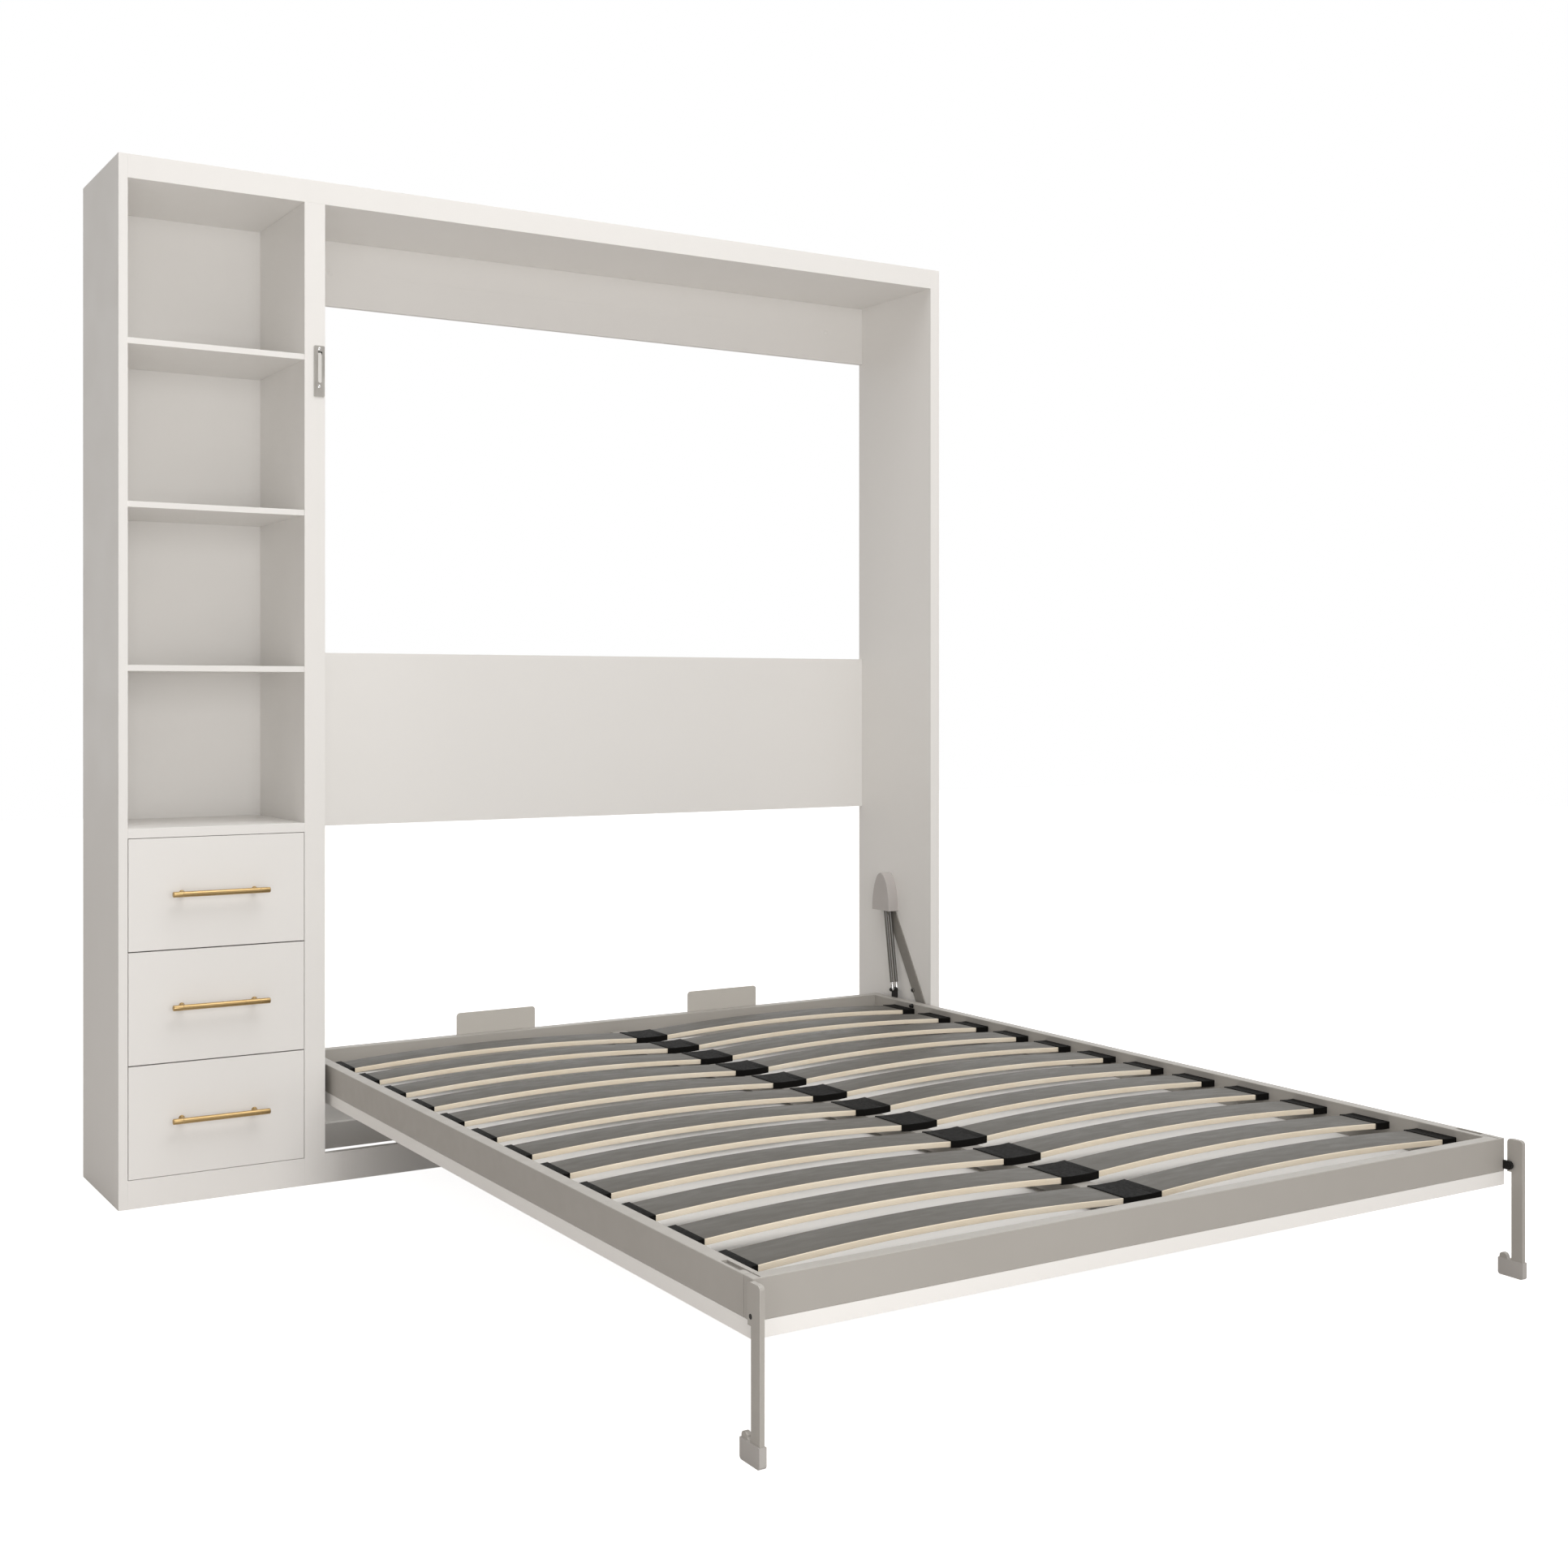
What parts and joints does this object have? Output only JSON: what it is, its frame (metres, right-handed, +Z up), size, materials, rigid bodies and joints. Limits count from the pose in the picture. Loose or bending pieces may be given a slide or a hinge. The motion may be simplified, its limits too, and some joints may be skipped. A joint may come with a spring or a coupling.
{
  "type": "murphy wall bed",
  "caption": "Wall bed on a slatted steel frame that folds up into a cabinet, with an open shelf tower, drawers, fold-in legs and a gas-spring lift.",
  "frame": {"origin": "bottom centre of the whole bed, opened out, on the floor", "axes": "+Z up, +Y towards the wall behind the cabinet, +X to the right of someone facing the cabinet"},
  "size_m": [2.1136, 2.182, 2.2],
  "materials": {
    "board": "warm white satin lacquer on engineered board",
    "frame_steel": "light warm grey powder coat",
    "strap_steel": "mid grey paint",
    "tube_steel": "dark grey paint",
    "cover_plastic": "light grey moulded plastic",
    "shoe_plastic": "grey moulded plastic",
    "cap_plastic": "black moulded plastic",
    "slat": "birch plywood with a grey foil top",
    "brass": "brushed brass",
    "chrome": "polished",
    "lock_steel": "satin steel",
    "runner_steel": "zinc plated",
    "black_steel": "black oxide"
  },
  "bodies": {
    "cabinet": {"left_side_panel": "board", "right_side_panel": "board", "divider_panel": "board", "top_board": "board", "top_fascia": "board", "ceiling_board": "board", "tower_shelves": "board", "counter_board": "board", "tower_floor": "board", "tower_toe_board": "board", "tower_back_panel": "board", "back_panel_upper": "board", "back_panel_middle": "board", "back_panel_lower": "board", "rear_stretcher": "board", "bay_toe_board": "board", "tower_runners": "runner_steel", "lock_plate": "lock_steel", "lock_screws": "lock_steel", "lift_strap_left": "strap_steel", "lift_strap_right": "strap_steel", "lift_cover_left": "cover_plastic", "lift_cover_right": "cover_plastic"},
    "bed": {"side_rail_left": "frame_steel", "side_rail_right": "frame_steel", "head_rail": "frame_steel", "foot_rail": "frame_steel", "centre_beam": "frame_steel", "door_panel": "board", "pivot_bushes": "black_steel", "rail_bolts": "black_steel", "mattress_stops": "frame_steel", "slats_left": "slat", "slats_right": "slat", "slat_end_caps": "cap_plastic", "slat_centre_caps": "cap_plastic", "leg_ear_left": "black_steel", "leg_ear_right": "black_steel", "rail_lugs": "black_steel"},
    "leg_left": {"leg_left": "frame_steel", "leg_shoe_left": "shoe_plastic"},
    "leg_right": {"leg_right": "frame_steel", "leg_shoe_right": "shoe_plastic"},
    "tubes_left": {"spring_tubes_left": "tube_steel"},
    "tubes_right": {"spring_tubes_right": "tube_steel"},
    "rods_left": {"spring_rods_left": "chrome"},
    "rods_right": {"spring_rods_right": "chrome"},
    "latch": {"lock_lever": "lock_steel"},
    "drawer_top": {"drawer_top_front": "board", "drawer_top_tray": "board", "drawer_top_runners": "runner_steel", "drawer_top_handle": "brass"},
    "drawer_middle": {"drawer_middle_front": "board", "drawer_middle_tray": "board", "drawer_middle_runners": "runner_steel", "drawer_middle_handle": "brass"},
    "drawer_bottom": {"drawer_bottom_front": "board", "drawer_bottom_tray": "board", "drawer_bottom_runners": "runner_steel", "drawer_bottom_handle": "brass"}
  },
  "joints": [
    {"name": "bed_fold", "type": "hinge", "parent": "cabinet", "child": "bed", "pos_m": [0.206, 0.81, 0.225], "axis": [-1, 0, 0], "range_deg": [0, 90]},
    {"name": "leg_left_fold", "type": "hinge", "parent": "bed", "child": "leg_left", "pos_m": [-0.61025, -1.064, 0.206], "axis": [1, 0, 0], "range_deg": [0, 90]},
    {"name": "leg_right_fold", "type": "hinge", "parent": "bed", "child": "leg_right", "pos_m": [1.02225, -1.064, 0.206], "axis": [1, 0, 0], "range_deg": [0, 90]},
    {"name": "latch_turn", "type": "hinge", "parent": "cabinet", "child": "latch", "pos_m": [-0.63025, 0.75, 1.8185], "axis": [0, -1, 0], "range_deg": [0, 90]},
    {"name": "tubes_left_turn", "type": "hinge", "parent": "cabinet", "child": "tubes_left", "pos_m": [-0.60125, 0.938, 0.54], "axis": [-1, 0, 0], "range_deg": [0, 2.1]},
    {"name": "rods_left_slide", "type": "slide", "parent": "tubes_left", "child": "rods_left", "axis": [0, -0.1565, -0.9877], "range_m": [0, 0.1415]},
    {"name": "tubes_right_turn", "type": "hinge", "parent": "cabinet", "child": "tubes_right", "pos_m": [1.01325, 0.938, 0.54], "axis": [-1, 0, 0], "range_deg": [0, 2.1]},
    {"name": "rods_right_slide", "type": "slide", "parent": "tubes_right", "child": "rods_right", "axis": [0, -0.1565, -0.9877], "range_m": [0, 0.1415]},
    {"name": "drawer_top_slide", "type": "slide", "parent": "cabinet", "child": "drawer_top", "axis": [0, -1, 0], "range_m": [0, 0.25]},
    {"name": "drawer_middle_slide", "type": "slide", "parent": "cabinet", "child": "drawer_middle", "axis": [0, -1, 0], "range_m": [0, 0.25]},
    {"name": "drawer_bottom_slide", "type": "slide", "parent": "cabinet", "child": "drawer_bottom", "axis": [0, -1, 0], "range_m": [0, 0.25]}
  ],
  "couplings": [
    {"joint": "tubes_left_turn", "follows": "bed_fold", "ratio": 0.022238},
    {"joint": "rods_left_slide", "follows": "bed_fold", "m_per_rad": 0.089259},
    {"joint": "tubes_right_turn", "follows": "bed_fold", "ratio": 0.022238},
    {"joint": "rods_right_slide", "follows": "bed_fold", "m_per_rad": 0.089259}
  ]
}
